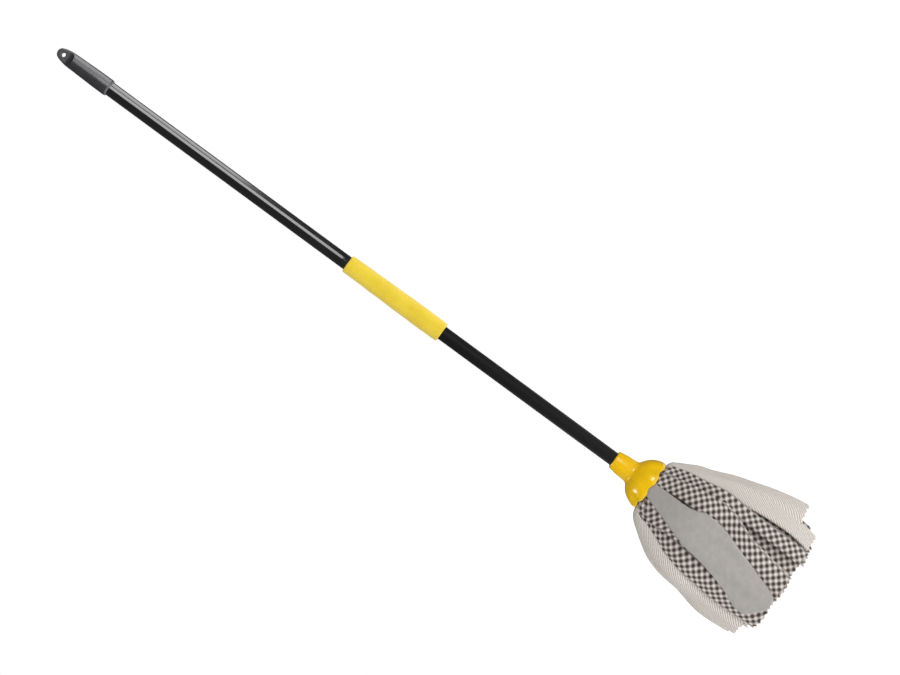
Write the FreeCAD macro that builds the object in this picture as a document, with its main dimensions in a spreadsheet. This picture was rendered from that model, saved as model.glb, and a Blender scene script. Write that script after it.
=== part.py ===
import FreeCAD, Part
import math
import os
from types import SimpleNamespace

import Sketcher
from FreeCAD import Vector

# Strip mop: a two-section steel pole with a moulded hanging grip and a foam sleeve, a bell socket
# screwed on its lower end, and a clip-in refill whose folded cloth strips hang in three rings.
#
# Millimetres. +Z runs up the pole, which hangs plumb. The origin is the middle of the hanging hole,
# whose axis is Y. Strips are placed by azimuth, counted from -Y and growing towards +X.

# The driving dimensions: alias, value, meaning. Heights are counted from the hanging hole.
DIMENSIONS = [
    ("tube_dia", 22, "outside diameter of both pole tubes"),
    ("tube_wall", 0.7, "wall of the steel tubes"),
    ("tube_top", -25, "upper end of the upper tube, inside the grip"),
    ("seam", -528, "where the two pole sections, of one length, meet"),
    ("seam_gap", 0.3, "gap left between the two sections"),
    ("tube_foot", -1030, "lower end of the lower tube"),
    ("grip_tip", 11, "highest point of the hanging grip"),
    ("grip_foot", -85.5, "lower end of the hanging grip"),
    ("grip_dia", 26.6, "hanging grip at its fullest"),
    ("grip_swell", -64, "height where the grip is fullest"),
    ("grip_shoulder_dia", 24, "grip where its nose begins"),
    ("grip_shoulder", -12, "height where the nose begins"),
    ("nose_dia", 14.6, "nose beside its tip"),
    ("nose", 7.5, "height of that place"),
    ("nose_arc", 9.4, "radius of the very tip"),
    ("shoulder_arc", 60, "radius of the outline from the shoulder to the nose"),
    ("grip_bevel", 3, "height of the bevel at the grip's lower end"),
    ("grip_bevel_in", 0.9, "depth of that bevel"),
    ("eye_dia", 7, "hanging hole"),
    ("eye_thickness", 11, "grip between the two flats at the hole"),
    ("eye_flat_foot", -8, "lower end of the flats"),
    ("eye_scoop", 9, "radius that runs the flats out"),
    ("foam_length", 175.2, "foam sleeve, which begins at the seam"),
    ("foam_top_dia", 29, "foam sleeve at its upper end"),
    ("foam_swell_dia", 32.2, "foam sleeve at its fullest"),
    ("foam_swell_rise", 27, "height of the fullest place above the foam's foot"),
    ("foam_foot_dia", 30.8, "foam sleeve at its lower end"),
    ("foam_edge", 2, "rounding of the foam's ends"),
    ("joint_dia", 14, "threaded stud that joins the pole sections"),
    ("joint_depth", 32, "length of that stud"),
    ("joint_plug", 42, "length that each joint fitting goes into its tube"),
    ("thread_play", 0.05, "radial play of both screw threads"),
    ("thread_room", 1, "room left beyond the end of each thread"),
    ("chamfer", 1.5, "lead-in chamfer of threads and post"),
    ("tip_dia", 19, "threaded tip over its crests"),
    ("tip_length", 32, "threaded tip below the tube"),
    ("tip_plug", 35, "length of the tip inside the tube"),
    ("tip_core_dia", 11, "hollow core of the tip"),
    ("tip_cap", 3, "closed top of the tip above its core"),
    ("neck_top", -1023.8, "mouth of the socket"),
    ("neck_mouth_dia", 26.4, "neck at its mouth"),
    ("neck_edge_dia", 29.2, "neck just below its rounded edge"),
    ("neck_edge", 2.4, "depth of that rounded edge"),
    ("neck_mid_dia", 34, "neck half way down"),
    ("neck_mid", -1040, "height of that place"),
    ("neck_foot_dia", 37.6, "neck where the bell begins"),
    ("neck_foot", -1058.5, "height where the bell begins"),
    ("mouth_play", 0.35, "play around the tube in the socket's mouth"),
    ("bell_dia", 82, "bell at its rim"),
    ("bell_arc", 41, "radius of the bell's outline"),
    ("bell_foot", -1087.5, "height where the rim band begins"),
    ("rim", -1092, "lower edge of the rim"),
    ("rim_dia", 81, "rim band, outside"),
    ("rim_bore_dia", 76, "rim band, inside"),
    ("bell_bore_arc", 38, "radius of the bell's inner outline"),
    ("ceiling", -1067.5, "flat inner top of the bell"),
    ("ceiling_dia", 56, "that flat, across"),
    ("post_dia", 15, "post that the refill clip is pushed on"),
    ("post_foot", -1090.5, "lower end of the post"),
    ("arch_count", 8, "arches cut in the rim"),
    ("arch_radius", 14, "radius of each arch"),
    ("arch_rise", 2.4, "height of each arch"),
    ("arch_turn", -7, "azimuth of the front arch, degrees"),
    ("clip_play", 0.08, "radial play of the clip on the post"),
    ("clip_top", -1078.2, "upper face of the refill clip"),
    ("clip_dia", 61, "refill clip across its plate"),
    ("clip_droop", 2, "how far the plate falls towards its edge"),
    ("clip_plate", 3, "thickness of the plate"),
    ("clip_hub_dia", 23, "hub of the clip"),
    ("clip_foot", -1089.5, "lower face of the hub"),
    ("clip_edge", 1, "bevel of the plate's edge"),
    ("clip_rib", 2, "thickness of the clip's ribs"),
    ("clip_rib_root", 3, "length of a rib along the hub's foot"),
    ("clip_ribs", 6, "ribs under the plate"),
    ("cloth_gap", 0.45, "room left between the gathered cloth and the socket"),
    ("cloth_rest", 0.1, "gap between the gathered cloth and its clip"),
    ("gather_foot_bore", 67, "inside of the gathered cloth at its lower end"),
    ("strip_thick", 1.6, "cloth strip, measured level"),
    ("strip_width", 50, "width that a strip is cut to"),
    ("hang_lift", 0.6, "strip above its bending line"),
    ("ring_step", 2.5, "each ring of strips bends this much lower"),
    ("bend_level", -1096, "bending line of the outer ring"),
]

# The skirt that the strips hang in: how far below its bending line a strip is, how far it has come
# out from it there, and its width there as a share of the cut width. Cloth gathers at the top.
SKIRT = [
    (0, 0, 0.26),
    (28, 19, 0.5),
    (69, 43, 0.84),
    (129, 57, 0.92),
    (189, 60, 0.92),
    (239, 56, 0.92),
]

# The rings: strips, distance of the bending line from the pole's axis, sideways shift that lets
# neighbours lie over each other like shingles, share of the skirt's spread, width as a share of the
# skirt's, azimuth of the first strip, and how much is cut off each strip in turn.
RINGS = [
    ("outer", 16, 38.2, 11.5, 1, 1, -24, (6, 2, 4, 8, 34, 12, 6, 10, 0, 8, 3, 14, 10, 24, 20, 2)),
    ("middle", 8, 34.6, 0, 0.84, 0.98, 19, (6, 0, 14, 4)),
    ("core", 4, 31, 0, 0.35, 0.9, 0, (10, 2)),
]
GREY_STRIPS = {"outer_strip_01": "grey_strip_front", "outer_strip_09": "grey_strip_back"}
GREY_WIDER = 1.04


class Size:
    """A length that keeps its value and the sheet formula that it comes from."""

    def __init__(self, value, formula):
        self.value = value
        self.formula = formula

    def __add__(self, other):
        return joined(self, "+", other, self.value + value_of(other))

    def __sub__(self, other):
        return joined(self, "-", other, self.value - value_of(other))

    def __mul__(self, other):
        return joined(self, "*", other, self.value * value_of(other))

    def __truediv__(self, other):
        return joined(self, "/", other, self.value / value_of(other))

    def __neg__(self):
        return Size(-self.value, f"(-{self.formula})")


def value_of(size):
    return size.value if isinstance(size, Size) else float(size)


def formula_of(size):
    return size.formula if isinstance(size, Size) else f"{float(size):.9g}"


def joined(left, sign, right, value):
    return Size(value, f"({formula_of(left)} {sign} {formula_of(right)})")


def make_sheet(doc):
    """Writes the driving dimensions into the sheet and returns them as Size values."""
    sheet = doc.addObject("Spreadsheet::Sheet", "Sizes")
    sizes = SimpleNamespace()
    for row, (alias, value, meaning) in enumerate(DIMENSIONS, start=1):
        sheet.set(f"A{row}", meaning)
        sheet.set(f"B{row}", str(value))
        sheet.setAlias(f"B{row}", alias)
        setattr(sizes, alias, Size(value, f"Sizes.{alias}"))
    doc.recompute()
    return sizes


def new_body(doc, label):
    body = doc.addObject("PartDesign::Body", label)
    body.Label = label
    return body


def plane_of(body, role):
    return next(item for item in body.Origin.OriginFeatures if item.Role == role)


def new_sketch(body, plane, name):
    sketch = body.newObject("Sketcher::SketchObject", f"{body.Label}_{name}")
    sketch.AttachmentSupport = [(plane_of(body, plane), "")]
    sketch.MapMode = "FlatFace"
    return sketch


def pin(sketch, kind, *where, size):
    """Adds one sketch constraint and binds it to the sheet."""
    index = sketch.addConstraint(Sketcher.Constraint(kind, *where, value_of(size)))
    sketch.setExpression(f"Constraints[{index}]", formula_of(size))


def arc_between(start, end, radius, turns_left):
    """The shorter arc from start to end, as the counter-clockwise arc that a sketch keeps."""
    if not turns_left:
        start, end = end, start
    half = (end - start) * 0.5
    inward = Vector(-half.y, half.x, 0).normalize()
    centre = start + half + inward * math.sqrt(radius**2 - half.Length**2)
    first = math.atan2(start.y - centre.y, start.x - centre.x)
    last = math.atan2(end.y - centre.y, end.x - centre.x)
    return Part.ArcOfCircle(Part.Circle(centre, Vector(0, 0, 1), radius), first, last)


def add_outline(sketch, corners):
    """Draws a closed outline. A corner is (x, y), or (x, y, radius) where an arc leaves it: a
    positive radius turns left on its way to the next corner and a negative one turns right."""
    first = sketch.GeometryCount
    ends = []
    for number, corner in enumerate(corners):
        after = corners[(number + 1) % len(corners)]
        start = Vector(value_of(corner[0]), value_of(corner[1]), 0)
        end = Vector(value_of(after[0]), value_of(after[1]), 0)
        if len(corner) == 2:
            sketch.addGeometry(Part.LineSegment(start, end))
            ends.append((1, 2))
        else:
            radius = value_of(corner[2])
            sketch.addGeometry(arc_between(start, end, abs(radius), radius > 0))
            ends.append((1, 2) if radius > 0 else (2, 1))
    for number, corner in enumerate(corners):
        edge = first + number
        other = (number + 1) % len(corners)
        sketch.addConstraint(
            Sketcher.Constraint("Coincident", edge, ends[number][1], first + other, ends[other][0])
        )
        pin(sketch, "DistanceX", -1, 1, edge, ends[number][0], size=corner[0])
        pin(sketch, "DistanceY", -1, 1, edge, ends[number][0], size=corner[1])
        if len(corner) == 3:
            radius = corner[2] if value_of(corner[2]) > 0 else -corner[2]
            pin(sketch, "Radius", edge, size=radius)


def turned(doc, label, corners):
    """A body turned about Z from an outline of (radius, height) corners."""
    body = new_body(doc, label)
    sketch = new_sketch(body, "XZ_Plane", "profile")
    add_outline(sketch, corners)
    feature = body.newObject("PartDesign::Revolution", f"{label}_turned")
    feature.Profile = sketch
    feature.ReferenceAxis = (sketch, ["V_Axis"])
    feature.Angle = 360
    return body


def cut_through(body, sketch, name, both_ways=True, reverse=False):
    feature = body.newObject("PartDesign::Pocket", f"{body.Label}_{name}")
    feature.Profile = sketch
    feature.Type = "ThroughAll"
    feature.Midplane = both_ways
    feature.Reversed = reverse
    return feature


def repeat_around(body, feature, count):
    """Repeats a feature of the body evenly about Z."""
    pattern = body.newObject("PartDesign::PolarPattern", f"{feature.Label}_ring")
    pattern.Originals = [feature]
    pattern.Axis = (plane_of(body, "Z_Axis"), [""])
    pattern.Angle = 360
    pattern.setExpression("Occurrences", formula_of(count))
    body.Tip = pattern
    return pattern


def check_cut(doc, body, before, what):
    doc.recompute()
    if body.Shape.Volume > before - 1:
        raise RuntimeError(f"{body.Label}: {what} removed nothing")


def hanging_grip(doc, size):
    """Moulded end grip: swollen barrel, bullet nose, and two flats with the hanging hole."""
    tube = size.tube_dia / 2
    barrel = size.grip_dia / 2
    body = turned(
        doc,
        "hanging_grip",
        [
            (0, size.tube_top),
            (tube, size.tube_top),
            (tube, size.grip_foot),
            (barrel - size.grip_bevel_in, size.grip_foot),
            (barrel, size.grip_foot + size.grip_bevel),
            (barrel, size.grip_swell),
            (size.grip_shoulder_dia / 2, size.grip_shoulder, size.shoulder_arc),
            (size.nose_dia / 2, size.nose, size.nose_arc),
            (0, size.grip_tip),
        ],
    )
    doc.recompute()
    before = body.Shape.Volume
    flats = new_sketch(body, "YZ_Plane", "flats")
    clear = size.grip_dia
    for side in (1, -1):
        flat = size.eye_thickness / 2 * side
        edge = flat + size.eye_scoop * side
        foot = size.eye_flat_foot - size.eye_scoop
        add_outline(
            flats,
            [
                (flat, clear),
                (flat, size.eye_flat_foot, size.eye_scoop * side),
                (edge, foot),
                (edge, clear),
            ],
        )
    cut_through(body, flats, "eye_flats")
    check_cut(doc, body, before, "the flats")
    before = body.Shape.Volume
    hole = new_sketch(body, "XZ_Plane", "hole")
    hole.addGeometry(Part.Circle(Vector(0, 0, 0), Vector(0, 0, 1), size.eye_dia.value / 2))
    hole.addConstraint(Sketcher.Constraint("Coincident", 0, 3, -1, 1))
    pin(hole, "Radius", 0, size=size.eye_dia / 2)
    cut_through(body, hole, "eye")
    check_cut(doc, body, before, "the hanging hole")
    return body


def foam_sleeve(doc, size):
    """Soft foam sleeve at the top of the lower section, swollen towards its lower end."""
    tube = size.tube_dia / 2
    edge = size.foam_edge
    top = size.seam - size.seam_gap
    foot = top - size.foam_length
    return turned(
        doc,
        "foam_sleeve",
        [
            (tube, foot),
            (size.foam_foot_dia / 2 - edge, foot, edge),
            (size.foam_foot_dia / 2, foot + edge),
            (size.foam_swell_dia / 2, foot + size.foam_swell_rise),
            (size.foam_top_dia / 2, top - edge, edge),
            (size.foam_top_dia / 2 - edge, top),
            (tube, top),
        ],
    )


def pole_pieces(doc, size):
    """Two steel tubes, the screw joint between them and the threaded tip."""
    tube = size.tube_dia / 2
    bore = tube - size.tube_wall
    low_top = size.seam - size.seam_gap
    stud = size.joint_dia / 2
    stud_top = low_top + size.joint_depth
    nut = stud + size.thread_play
    tip = size.tip_dia / 2
    tip_foot = size.tube_foot - size.tip_length
    tip_core = size.tip_core_dia / 2
    tip_top = size.tube_foot + size.tip_plug
    chamfer = size.chamfer
    upper_tube = [(bore, size.seam), (tube, size.seam), (tube, size.tube_top), (bore, size.tube_top)]
    lower_tube = [(bore, size.tube_foot), (tube, size.tube_foot), (tube, low_top), (bore, low_top)]
    joint_nut = [
        (nut, size.seam),
        (bore, size.seam),
        (bore, size.seam + size.joint_plug),
        (0, size.seam + size.joint_plug),
        (0, stud_top + size.thread_room),
        (nut, stud_top + size.thread_room),
    ]
    joint_stud = [
        (0, low_top - size.joint_plug),
        (bore, low_top - size.joint_plug),
        (bore, low_top),
        (stud, low_top),
        (stud, stud_top - chamfer),
        (stud - chamfer, stud_top),
        (0, stud_top),
    ]
    threaded_tip = [
        (tip_core, tip_foot),
        (tip - chamfer, tip_foot),
        (tip, tip_foot + chamfer),
        (tip, size.tube_foot),
        (bore, size.tube_foot),
        (bore, tip_top),
        (0, tip_top),
        (0, tip_top - size.tip_cap),
        (tip_core, tip_top - size.tip_cap),
    ]
    return [
        turned(doc, "upper_tube", upper_tube),
        turned(doc, "lower_tube", lower_tube),
        turned(doc, "joint_nut", joint_nut),
        turned(doc, "joint_stud", joint_stud),
        turned(doc, "threaded_tip", threaded_tip),
    ]


def bell_socket(doc, size):
    """Moulded socket: tapered threaded neck, bell with an arched rim, and the post inside it."""
    thread = size.tip_dia / 2 + size.thread_play
    mouth = size.tube_dia / 2 + size.mouth_play
    mouth_foot = size.tube_foot - size.seam_gap
    thread_foot = size.tube_foot - size.tip_length - size.thread_room
    post = size.post_dia / 2
    body = turned(
        doc,
        "bell_socket",
        [
            (0, size.post_foot),
            (post - size.chamfer, size.post_foot),
            (post, size.post_foot + size.chamfer),
            (post, size.ceiling),
            (size.ceiling_dia / 2, size.ceiling, -size.bell_bore_arc),
            (size.rim_bore_dia / 2, size.rim),
            (size.rim_dia / 2, size.rim),
            (size.bell_dia / 2, size.bell_foot, size.bell_arc),
            (size.neck_foot_dia / 2, size.neck_foot),
            (size.neck_mid_dia / 2, size.neck_mid),
            (size.neck_edge_dia / 2, size.neck_top - size.neck_edge),
            (size.neck_mouth_dia / 2, size.neck_top),
            (mouth, size.neck_top),
            (mouth, mouth_foot),
            (thread, mouth_foot),
            (thread, thread_foot),
            (0, thread_foot),
        ],
    )
    doc.recompute()
    before = body.Shape.Volume
    arch = new_sketch(body, "XZ_Plane", "arch")
    middle = size.rim + size.arch_rise - size.arch_radius
    arch.addGeometry(
        Part.Circle(Vector(0, middle.value, 0), Vector(0, 0, 1), size.arch_radius.value)
    )
    arch.addConstraint(Sketcher.Constraint("PointOnObject", 0, 3, -2))
    pin(arch, "DistanceY", -1, 1, 0, 3, size=middle)
    pin(arch, "Radius", 0, size=size.arch_radius)
    cut = cut_through(body, arch, "arch_cut", both_ways=False)
    repeat_around(body, cut, size.arch_count)
    check_cut(doc, body, before, "the arches")
    body.Placement.Rotation = FreeCAD.Rotation(Vector(0, 0, 1), size.arch_turn.value)
    body.setExpression("Placement.Rotation.Angle", size.arch_turn.formula)
    return body


def refill_clip(doc, size):
    """Ribbed plastic plate that holds the folded strips up in the bell."""
    bore = size.post_dia / 2 + size.clip_play
    edge = size.clip_dia / 2
    hub = size.clip_hub_dia / 2
    edge_top = size.clip_top - size.clip_droop
    plate_foot = size.clip_top - size.clip_plate
    body = turned(
        doc,
        "refill_clip",
        [
            (bore, size.clip_foot),
            (hub, size.clip_foot),
            (hub, plate_foot - size.clip_droop / 2),
            (edge - size.clip_edge * 1.5, edge_top - size.clip_plate, size.clip_plate),
            (edge, edge_top - size.clip_edge),
            (edge - size.clip_edge, edge_top),
            (hub, size.clip_top),
            (bore, size.clip_top),
        ],
    )
    rib_sketch = new_sketch(body, "XZ_Plane", "rib")
    add_outline(
        rib_sketch,
        [
            (hub - size.clip_edge, size.clip_foot + size.clip_edge),
            (hub + size.clip_rib_root, size.clip_foot + size.clip_edge),
            (edge - size.clip_edge * 3, edge_top - size.clip_plate),
            (edge - size.clip_edge * 3, edge_top - size.clip_edge),
            (hub - size.clip_edge, plate_foot + size.clip_edge),
        ],
    )
    rib = body.newObject("PartDesign::Pad", "refill_clip_rib")
    rib.Profile = rib_sketch
    rib.Midplane = True
    rib.setExpression("Length", size.clip_rib.formula)
    repeat_around(body, rib, size.clip_ribs)
    return body


def gathered_cloth(doc, size):
    """The folded middles of the strips, pressed between the clip and the bell."""
    gap = size.cloth_gap
    inner = size.post_dia / 2 + gap
    edge = size.clip_dia / 2 + gap
    edge_top = size.clip_top - size.clip_droop
    return turned(
        doc,
        "gathered_cloth",
        [
            (inner, size.clip_top + size.cloth_rest),
            (size.clip_hub_dia / 2, size.clip_top + size.cloth_rest),
            (edge, edge_top + size.cloth_rest),
            (edge, edge_top - size.clip_plate),
            (size.gather_foot_bore / 2, size.rim + gap),
            (size.rim_bore_dia / 2 - gap * 2, size.rim + gap, size.bell_bore_arc - gap),
            (size.ceiling_dia / 2 - gap, size.ceiling - gap),
            (inner, size.ceiling - gap),
        ],
    )


def cloth_strip(doc, size, label, ring, number):
    """One hanging strip tail: a bent band padded from its side outline and trimmed to its width."""
    _, count, reach, shift, spread, wide, first, cuts = ring
    ring_number = RINGS.index(ring)
    bend = size.bend_level - size.ring_step * ring_number
    thick = size.strip_thick / 2
    cut = cuts[number % len(cuts)]
    width = size.strip_width * wide
    if label.startswith("grey"):
        width = width * GREY_WIDER
    levels = [(size.hang_lift, 0, SKIRT[0][2])]
    levels += [(Size(-drop, f"{-drop}"), out * spread, share) for drop, out, share in SKIRT[1:]]
    outside = [(thick + (reach + out), bend + drop) for drop, out, _ in levels]
    inside = [((reach + out) - thick.value, bend + drop) for drop, out, _ in reversed(levels)]
    body = new_body(doc, label)
    side = new_sketch(body, "XZ_Plane", "side")
    add_outline(side, outside + inside)
    pad = body.newObject("PartDesign::Pad", f"{label}_band")
    pad.Profile = side
    pad.Midplane = True
    pad.setExpression("Length", (size.strip_width * 3).formula)
    face = new_sketch(body, "YZ_Plane", "face")
    foot = Size(-SKIRT[-1][0] + cut, f"{-SKIRT[-1][0] + cut}")
    heights = [bend + drop for drop, _, _ in levels[:-1]] + [bend + foot]
    right = [(width * share / 2 + shift, height) for (_, _, share), height in zip(levels, heights)]
    left = [(-(width * share / 2) + shift, height) for (_, _, share), height in zip(levels, heights)]
    beyond = size.strip_width * 2
    frame = [(beyond, 1), (beyond, -1), (-beyond, -1), (-beyond, 1)]
    above = bend + beyond
    below = bend - SKIRT[-1][0] - beyond
    add_outline(face, [(across, above if up > 0 else below) for across, up in frame])
    add_outline(face, right + left[::-1])
    cut_through(body, face, "trim")
    turn = first + 360 / count * number - 90
    body.Placement.Rotation = FreeCAD.Rotation(Vector(0, 0, 1), turn)
    return body


def all_strips(doc, size):
    strips = []
    for ring in RINGS:
        for number in range(ring[1]):
            label = f"{ring[0]}_strip_{number + 1:02d}"
            strips.append(cloth_strip(doc, size, GREY_STRIPS.get(label, label), ring, number))
    return strips


def check_document(doc, parts):
    for item in doc.Objects:
        if {"Invalid", "Error"} & set(item.State):
            raise RuntimeError(f"{item.Label} failed: {item.State}")
    for part in parts:
        if part.Shape.isNull() or not part.Shape.isValid() or part.Shape.Volume < 1:
            raise RuntimeError(f"{part.Label} has no valid solid")


def main():
    doc = FreeCAD.newDocument("strip_mop")
    size = make_sheet(doc)
    parts = [hanging_grip(doc, size), foam_sleeve(doc, size)]
    parts += pole_pieces(doc, size)
    parts += [bell_socket(doc, size), refill_clip(doc, size), gathered_cloth(doc, size)]
    parts += all_strips(doc, size)
    doc.recompute()
    check_document(doc, parts)
    os.makedirs("parts", exist_ok=True)
    for part in parts:
        part.Shape.exportStep(f"parts/{part.Label}.step")
        print(f"{part.Label}: {part.Shape.Volume / 1000:.2f} cm3, {len(part.Shape.Solids)} solid")


main()
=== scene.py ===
"""Looks of the strip mop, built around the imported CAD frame.

Shapes are worked out in millimetres. Blender's own lengths (camera, lights, bump, finished meshes)
are metres, and MM turns one into the other. An azimuth is the angle around the pole, from the front
(-Y) towards the right-hand side (+X)."""

import bmesh
import bpy
import math
import numpy as np
from mathutils import Matrix, Vector


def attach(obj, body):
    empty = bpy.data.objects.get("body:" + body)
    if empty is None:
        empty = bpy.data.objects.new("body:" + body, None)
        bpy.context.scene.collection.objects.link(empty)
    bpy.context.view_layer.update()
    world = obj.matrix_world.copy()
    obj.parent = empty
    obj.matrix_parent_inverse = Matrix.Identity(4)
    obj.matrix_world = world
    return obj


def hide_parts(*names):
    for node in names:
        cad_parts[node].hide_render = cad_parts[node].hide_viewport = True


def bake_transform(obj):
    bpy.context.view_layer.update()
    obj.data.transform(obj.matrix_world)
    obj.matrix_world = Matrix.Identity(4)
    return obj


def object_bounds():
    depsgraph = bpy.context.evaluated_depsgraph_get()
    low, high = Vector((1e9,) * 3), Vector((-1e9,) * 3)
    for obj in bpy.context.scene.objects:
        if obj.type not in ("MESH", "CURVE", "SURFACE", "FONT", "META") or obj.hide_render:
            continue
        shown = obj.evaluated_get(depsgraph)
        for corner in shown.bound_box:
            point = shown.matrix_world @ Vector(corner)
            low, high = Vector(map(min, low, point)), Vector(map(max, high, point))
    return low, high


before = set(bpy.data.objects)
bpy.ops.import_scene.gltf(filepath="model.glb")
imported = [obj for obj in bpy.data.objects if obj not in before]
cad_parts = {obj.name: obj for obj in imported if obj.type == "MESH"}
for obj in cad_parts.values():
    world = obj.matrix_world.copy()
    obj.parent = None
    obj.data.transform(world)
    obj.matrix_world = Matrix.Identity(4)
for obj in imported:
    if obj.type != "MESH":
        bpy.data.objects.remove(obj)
cad_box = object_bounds()
MM = 0.001

# Heights and radii of the CAD pieces that the visible ones follow, in mm.
TUBE_RADIUS = 11
TUBE_WALL = 0.7
UPPER_TUBE = (-528, -25)
LOWER_TUBE = (-1030, -528.3)
FOAM_TOP = -528.3
FOAM_FOOT = -703.5
BELL_RADIUS = 41
RIM = -1092

# The bell's rim has eight arches. This is the azimuth of the one nearest the front, in degrees.
ARCHES = 8
FRONT_ARCH = -7

# The outer strips bend over at this height and distance from the axis. Each ring further in bends
# a step lower.
BEND = -1096
SKIRT_TOP = 38.8
RING_STEP = 2.5


# ---------------------------------------------------------------- camera


def place_camera():
    """A long lens, level with the mop. The pole runs down to the picture's right."""
    slope = math.radians(36.31)
    distance = 3.75
    aside = 0.0014
    below_middle = 0.054
    middle = (cad_box[0][2] + cad_box[1][2]) / 2
    right = Vector((math.sin(slope), 0, -math.cos(slope)))
    up = Vector((math.cos(slope), 0, math.sin(slope)))
    back = right.cross(up)
    camera = bpy.data.objects.new("camera", bpy.data.cameras.new("camera"))
    camera.data.lens = 100
    camera.data.sensor_width = 36
    turn = Matrix((right, up, back)).transposed().to_4x4()
    camera.matrix_world = Matrix.Translation((aside, -distance, middle - below_middle)) @ turn
    bpy.context.scene.collection.objects.link(camera)
    bpy.context.scene.camera = camera


# ---------------------------------------------------------------- materials


def colour(red, green, blue):
    """A colour given by its 0 to 255 sRGB values, as the linear values a shader takes."""
    linear = []
    for part in (red, green, blue):
        share = part / 255
        if share <= 0.04045:
            linear.append(share / 12.92)
        else:
            linear.append(((share + 0.055) / 1.055) ** 2.4)
    return (*linear, 1)


class Shader:
    """A new material and short calls for its nodes. Settings are numbers or colours for the
    surface's own sockets, named as in Blender with _ for each space."""

    def __init__(self, name, **settings):
        self.material = bpy.data.materials.new(name)
        self.material.use_nodes = True
        self.tree = self.material.node_tree
        self.surface = self.tree.nodes["Principled BSDF"]
        for socket, value in settings.items():
            self.surface.inputs[socket.replace("_", " ")].default_value = value

    def node(self, kind, **settings):
        made = self.tree.nodes.new(kind)
        for name, value in settings.items():
            setattr(made, name, value)
        return made

    def feed(self, socket, value):
        """Links a node's output to the socket, or sets a plain value on it."""
        if isinstance(value, bpy.types.NodeSocket):
            self.tree.links.new(value, socket)
        else:
            socket.default_value = value

    def maths(self, operation, *values):
        made = self.node("ShaderNodeMath", operation=operation)
        for socket, value in zip(made.inputs, values):
            self.feed(socket, value)
        return made.outputs[0]

    def step(self, value, low, high, to_low=0.0, to_high=1.0):
        """Eases from to_low to to_high as value goes from low to high."""
        made = self.node("ShaderNodeMapRange", interpolation_type="SMOOTHSTEP")
        for number, given in enumerate((value, low, high, to_low, to_high)):
            self.feed(made.inputs[number], given)
        return made.outputs[0]

    def place(self):
        return self.node("ShaderNodeTexCoord").outputs["Object"]

    def attribute(self, name):
        """A number that the mesh carries at each point."""
        return self.node("ShaderNodeAttribute", attribute_name=name).outputs["Fac"]

    def stretched(self, vector, scale):
        made = self.node("ShaderNodeMapping")
        self.feed(made.inputs["Vector"], vector)
        made.inputs["Scale"].default_value = scale
        return made.outputs["Vector"]

    def joined(self, *parts):
        made = self.node("ShaderNodeCombineXYZ")
        for socket, part in zip(made.inputs, parts):
            self.feed(socket, part)
        return made.outputs[0]

    def noise(self, vector, scale, detail=3.0, roughness=0.55):
        made = self.node("ShaderNodeTexNoise")
        self.feed(made.inputs["Vector"], vector)
        made.inputs["Scale"].default_value = scale
        made.inputs["Detail"].default_value = detail
        made.inputs["Roughness"].default_value = roughness
        return made.outputs["Fac"]

    def cells(self, vector, scale):
        """Distance to the middle of the nearest of many random cells."""
        made = self.node("ShaderNodeTexVoronoi")
        self.feed(made.inputs["Vector"], vector)
        made.inputs["Scale"].default_value = scale
        return made.outputs["Distance"]

    def mix(self, share, first, second):
        """The first colour where share is 0, the second where it is 1."""
        made = self.node("ShaderNodeMix", data_type="RGBA")
        colour_sockets = (6, 7)
        self.feed(made.inputs[0], share)
        for socket, value in zip(colour_sockets, (first, second)):
            self.feed(made.inputs[socket], value)
        return made.outputs[2]

    def bump(self, height, depth_mm, strength=1.0):
        made = self.node("ShaderNodeBump")
        made.inputs["Strength"].default_value = strength
        made.inputs["Distance"].default_value = depth_mm * MM
        self.feed(made.inputs["Height"], height)
        self.feed(self.surface.inputs["Normal"], made.outputs[0])

    def drive(self, socket, value):
        self.feed(self.surface.inputs[socket], value)


def lacquer_material(name, shade, dust_shade, roughness, **settings):
    """Black coated steel: faint ripple of the coat, hair-fine scratches and slow changes of gloss."""
    shader = Shader(name, IOR=1.5, **settings)
    place = shader.place()
    ripple = shader.noise(place, scale=150, detail=2.0)
    lengthwise = shader.stretched(place, (1400, 1400, 60))
    scratches = shader.noise(lengthwise, scale=1.0, detail=3.0, roughness=0.7)
    hairs = shader.step(scratches, 0.66, 0.8)
    handled = shader.step(shader.noise(place, scale=9, detail=3.0), 0.42, 0.7)
    scuff = shader.maths("MULTIPLY", hairs, handled)
    dust = shader.maths("MULTIPLY", scuff, 0.5)
    shader.drive("Base Color", shader.mix(dust, shade, dust_shade))
    shader.drive("Roughness", shader.step(handled, 0.0, 1.0, roughness, roughness + 0.05))
    shader.bump(ripple, depth_mm=0.006)
    return shader.material


def plastic_material(name, shade, worn_shade, roughness, grain, grain_depth_mm, **settings):
    """Moulded plastic: fine spark-eroded grain, slow colour drift and small rubbed places."""
    shader = Shader(name, **{"IOR": 1.49, "Subsurface_Scale": 0.004, **settings})
    place = shader.place()
    drift = shader.step(shader.noise(place, scale=38, detail=2.0), 0.35, 0.7)
    rubbed = shader.step(shader.noise(place, scale=420, detail=5.0, roughness=0.7), 0.62, 0.8)
    darker = tuple(part * 0.93 for part in shade[:3]) + (1,)
    clean = shader.mix(drift, shade, darker)
    wear = shader.maths("MULTIPLY", rubbed, 0.45)
    shader.drive("Base Color", shader.mix(wear, clean, worn_shade))
    shader.drive("Roughness", shader.step(drift, 0.0, 1.0, roughness, roughness + 0.07))
    shader.bump(shader.noise(place, grain, detail=3.0, roughness=0.6), grain_depth_mm)
    return shader.material


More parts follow.
